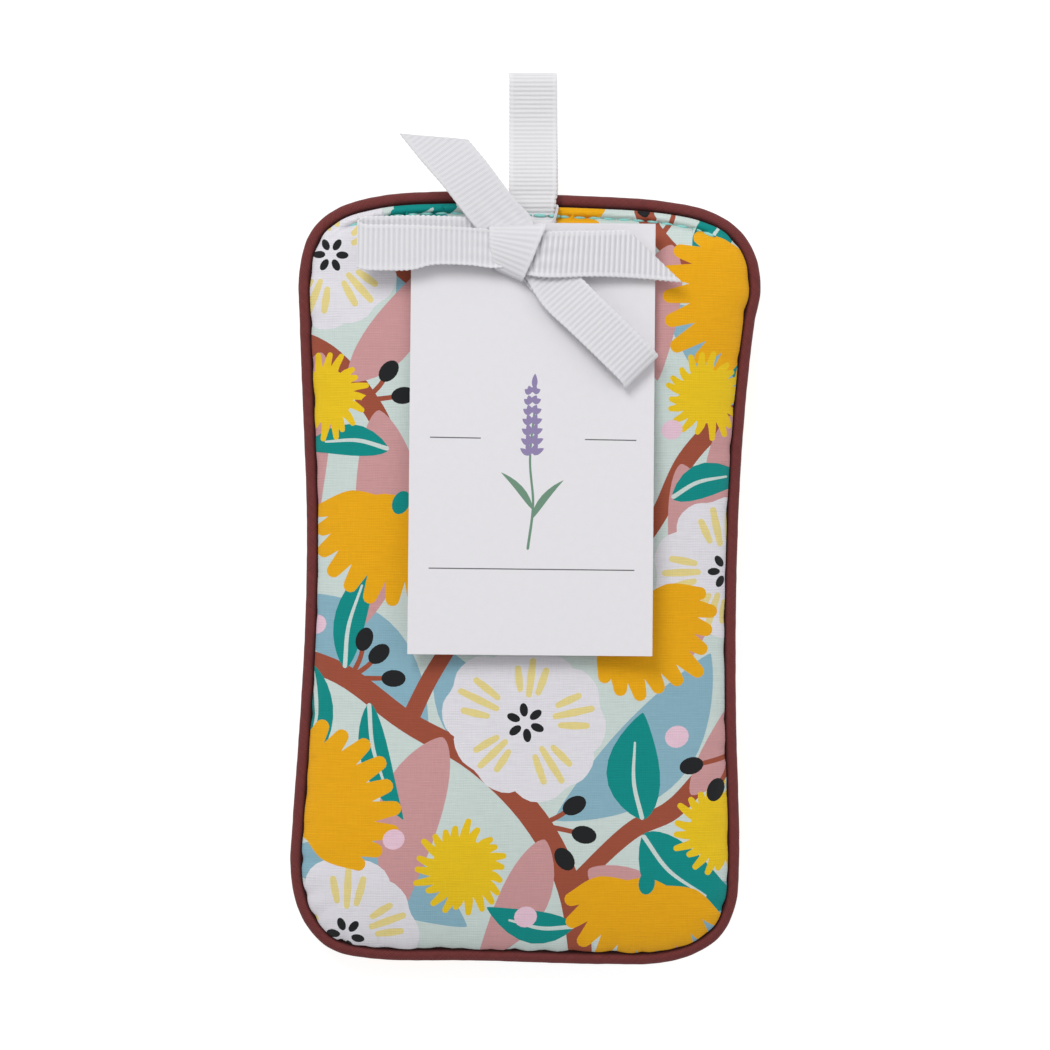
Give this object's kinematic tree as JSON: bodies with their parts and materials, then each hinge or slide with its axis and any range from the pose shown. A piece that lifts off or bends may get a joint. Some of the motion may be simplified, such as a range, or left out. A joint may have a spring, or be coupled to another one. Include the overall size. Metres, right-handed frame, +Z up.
{
  "type": "lavender sachet",
  "caption": "Piped cotton pillow filled with dried lavender, with a ribbon loop to hang it by and a blank card tied on with a ribbon bow.",
  "frame": {"origin": "on the floor under the middle of the sachet as it lies on its back, loop and bow included", "axes": "+Y along the sachet towards its hanging loop, +Z up out of the printed front, +X to the right as the front is seen"},
  "size_m": [0.0968, 0.1843, 0.0225],
  "materials": {
    "printed_cotton": "matte",
    "piping_cotton": "matte",
    "filler_cord": "matte",
    "dried_lavender": "matte",
    "aqua_thread": "matte",
    "white_grosgrain": "matte",
    "white_card": "matte"
  },
  "bodies": {
    "sachet": {"front_panel": "printed_cotton", "back_panel": "printed_cotton", "piping_cover": "piping_cotton", "piping_cord": "filler_cord", "lavender_filling": "dried_lavender", "seam_thread": "aqua_thread", "closing_stitch": "aqua_thread", "hanging_loop_foot": "white_grosgrain"},
    "hanging_loop": {"hanging_loop": "white_grosgrain"},
    "bow": {"tie_strand": "white_grosgrain", "bow_knot": "white_grosgrain", "bow_loop_left": "white_grosgrain", "bow_loop_lower": "white_grosgrain", "bow_tail_right": "white_grosgrain", "bow_tail_left": "white_grosgrain"},
    "tag": {"swing_tag": "white_card"}
  },
  "joints": [
    {"name": "loop_fold", "type": "hinge", "parent": "sachet", "child": "hanging_loop", "pos_m": [0.0016, 0.06697, 0.01035], "axis": [1, 0, 0], "range_deg": [-45, 90]},
    {"name": "tag_lift", "type": "hinge", "parent": "sachet", "child": "bow", "pos_m": [0.0016, 0.0613, 0.0168], "axis": [-1, 0, 0], "range_deg": [0, 70], "deforming": ["tie_strand", "bow_tail_left"]},
    {"name": "tag_swing", "type": "hinge", "parent": "bow", "child": "tag", "pos_m": [0.0016, 0.05457, 0.01736], "axis": [0, 0, 1], "range_deg": [-10, 10]}
  ]
}
